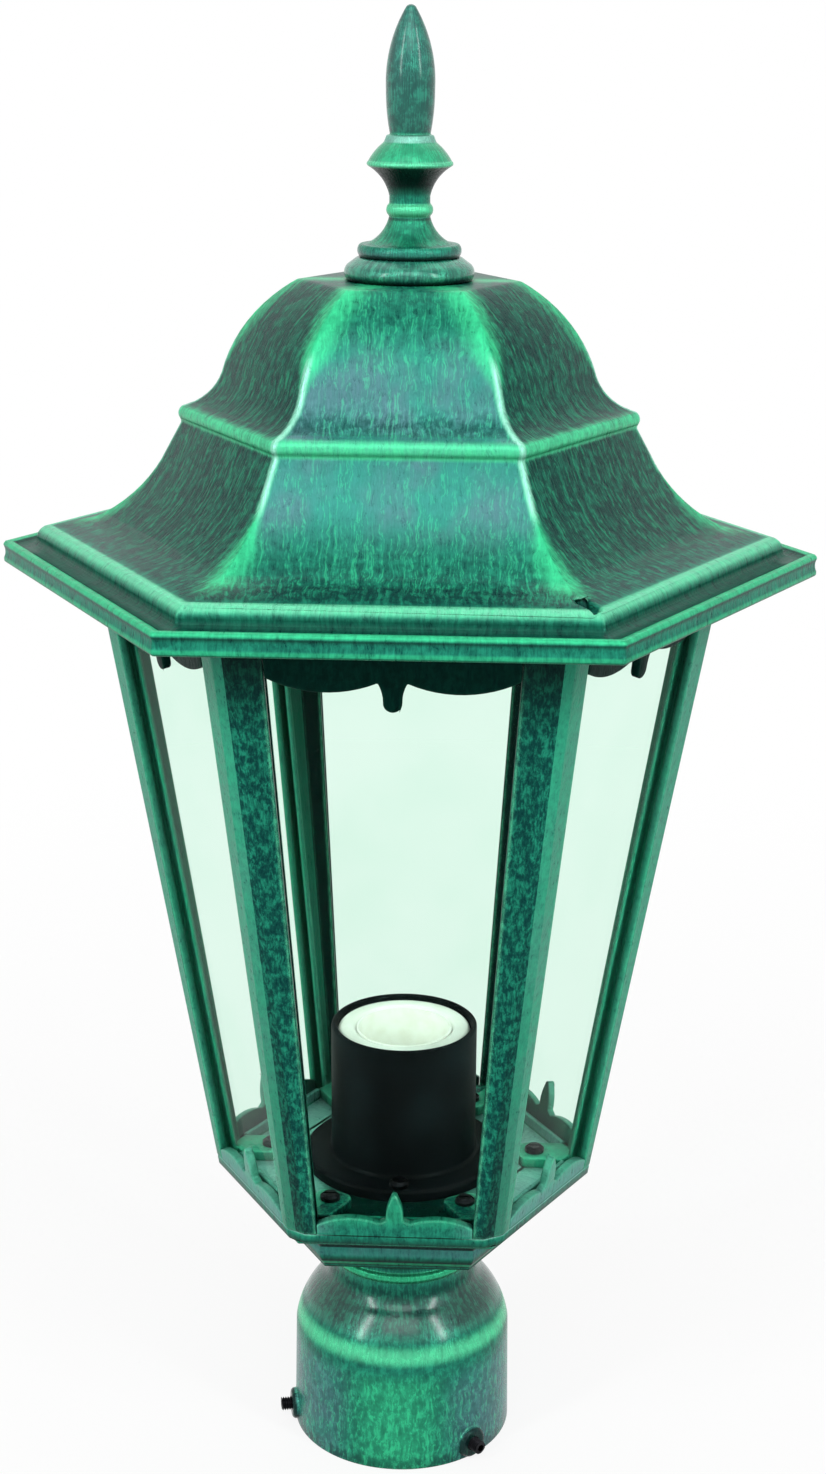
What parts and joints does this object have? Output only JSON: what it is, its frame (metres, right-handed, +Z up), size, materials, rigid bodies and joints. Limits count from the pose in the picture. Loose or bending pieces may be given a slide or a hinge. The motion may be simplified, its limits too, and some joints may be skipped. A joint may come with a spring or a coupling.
{
  "type": "street lantern",
  "caption": "Six-sided Victorian street lantern with leaning glass panes, an ogee roof with a turned finial, and a round socket that fits over a pole.",
  "frame": {"origin": "centre of the pole socket's open rim, at the lantern's lowest plane", "axes": "+Z up along the pole and the finial, a glazed face looks along -Y, and two corner posts stand on the X axis"},
  "size_m": [0.224, 0.194, 0.413],
  "materials": {
    "painted_casting": "verdigris green paint brushed over a dark teal coat on cast aluminium",
    "clear_glass": "clear sheet glass",
    "black_plastic": "black moulded, half gloss",
    "white_ceramic": "glazed white ceramic",
    "brass": "bright pressed brass",
    "zinc_steel": "zinc plated steel",
    "black_steel": "black oxide steel"
  },
  "bodies": {
    "cage": {"post_socket": "painted_casting", "base_tray": "painted_casting", "top_ring": "painted_casting", "corner_post_1": "painted_casting", "corner_post_2": "painted_casting", "corner_post_3": "painted_casting", "corner_post_4": "painted_casting", "corner_post_5": "painted_casting", "corner_post_6": "painted_casting", "glass_pane_1": "clear_glass", "glass_pane_2": "clear_glass", "glass_pane_3": "clear_glass", "glass_pane_4": "clear_glass", "glass_pane_5": "clear_glass", "glass_pane_6": "clear_glass", "bridge_bar": "zinc_steel", "bridge_nut": "zinc_steel", "bridge_screws": "zinc_steel", "lamp_shroud": "black_plastic", "lamp_insulator": "white_ceramic", "lamp_screw_shell": "brass", "lamp_contact": "brass", "terminal_screws": "brass", "shroud_screws": "black_steel", "cable_nipple": "zinc_steel", "nipple_washers": "zinc_steel", "nipple_nuts": "zinc_steel", "post_foot_screws": "black_steel", "post_head_screws": "zinc_steel", "earth_screw": "brass"},
    "roof": {"roof": "painted_casting", "crown_disc": "painted_casting"},
    "finial": {"finial": "painted_casting", "finial_stud": "zinc_steel"},
    "set_screw_1": {"set_screw_1": "black_steel"},
    "set_screw_2": {"set_screw_2": "black_steel"},
    "set_screw_3": {"set_screw_3": "black_steel"}
  },
  "joints": [
    {"name": "roof_lift", "type": "slide", "parent": "cage", "child": "roof", "axis": [0, 0, 1], "range_m": [0, 0.25]},
    {"name": "finial_spin", "type": "hinge", "parent": "roof", "child": "finial", "pos_m": [0, 0, 0.3492], "axis": [0, 0, 1], "continuous": true},
    {"name": "set_screw_1_slide", "type": "slide", "parent": "cage", "child": "set_screw_1", "axis": [0.6691, -0.7431, 0], "range_m": [-0.0025, 0.002]},
    {"name": "set_screw_2_slide", "type": "slide", "parent": "cage", "child": "set_screw_2", "axis": [0.309, 0.9511, 0], "range_m": [-0.0025, 0.002]},
    {"name": "set_screw_3_slide", "type": "slide", "parent": "cage", "child": "set_screw_3", "axis": [-0.9781, -0.2079, 0], "range_m": [-0.0025, 0.002]}
  ]
}
